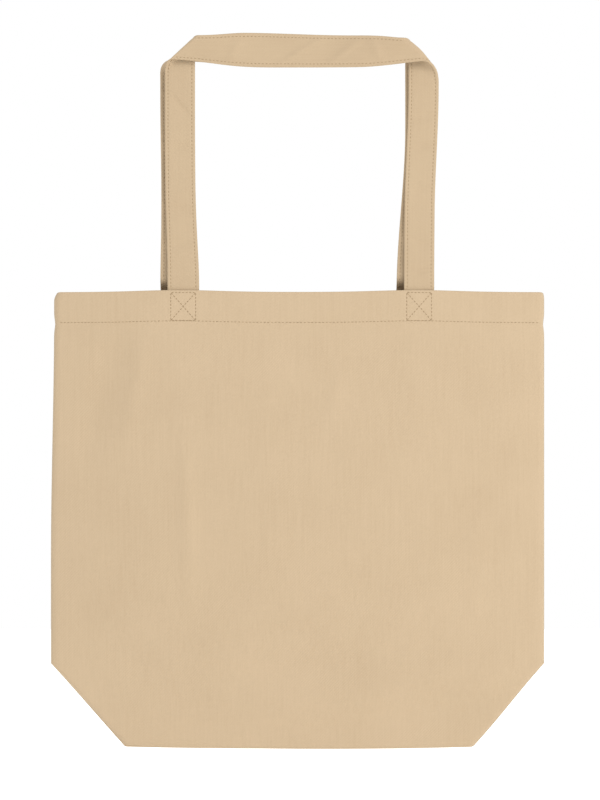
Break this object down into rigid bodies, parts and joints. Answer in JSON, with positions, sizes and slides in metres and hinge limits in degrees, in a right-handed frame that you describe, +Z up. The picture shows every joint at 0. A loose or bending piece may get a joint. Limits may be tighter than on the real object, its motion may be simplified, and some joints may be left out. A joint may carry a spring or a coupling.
{
  "type": "canvas tote bag",
  "caption": "Natural cotton canvas tote bag with two long handles, a turned hem, crossed stitching and a tucked boxed base, hanging folded nearly flat.",
  "frame": {"origin": "the hang point: mid-width and mid-depth, on the underside of the handles' top runs", "axes": "+Z up along the bag's height, +X to the right of someone who faces the front, the front faces -Y"},
  "size_m": [0.406, 0.0344, 0.5882],
  "materials": {
    "canvas": "natural unbleached cotton twill, matt",
    "strap": "the same twill folded to a flat strap, matt",
    "thread": "spun sewing thread, matt",
    "overlocked_edge": "cut canvas edges bound with overlock thread"
  },
  "bodies": {
    "bag": {"front_panel": "canvas", "back_panel": "canvas", "front_hem_stitching": "thread", "back_hem_stitching": "thread", "front_handle_end_left": "strap", "front_handle_end_right": "strap", "back_handle_end_left": "strap", "back_handle_end_right": "strap", "front_crossed_box_left": "thread", "front_crossed_box_right": "thread", "back_crossed_box_left": "thread", "back_crossed_box_right": "thread", "side_seam_left": "overlocked_edge", "side_seam_right": "overlocked_edge", "base_seam": "overlocked_edge", "front_corner_seam_left": "overlocked_edge", "front_corner_seam_right": "overlocked_edge", "back_corner_seam_left": "overlocked_edge", "back_corner_seam_right": "overlocked_edge"},
    "front_handle": {"front_handle_loop": "strap", "front_handle_outer_stitching": "thread", "front_handle_inner_stitching": "thread"},
    "back_handle": {"back_handle_loop": "strap", "back_handle_outer_stitching": "thread", "back_handle_inner_stitching": "thread"}
  },
  "joints": [
    {"name": "front_handle_swing", "type": "hinge", "parent": "bag", "child": "front_handle", "pos_m": [0, -0.01, -0.1845], "axis": [1, 0, 0], "range_deg": [0, 174]},
    {"name": "back_handle_swing", "type": "hinge", "parent": "bag", "child": "back_handle", "pos_m": [0, 0.01, -0.1845], "axis": [1, 0, 0], "range_deg": [-174, 0]}
  ]
}
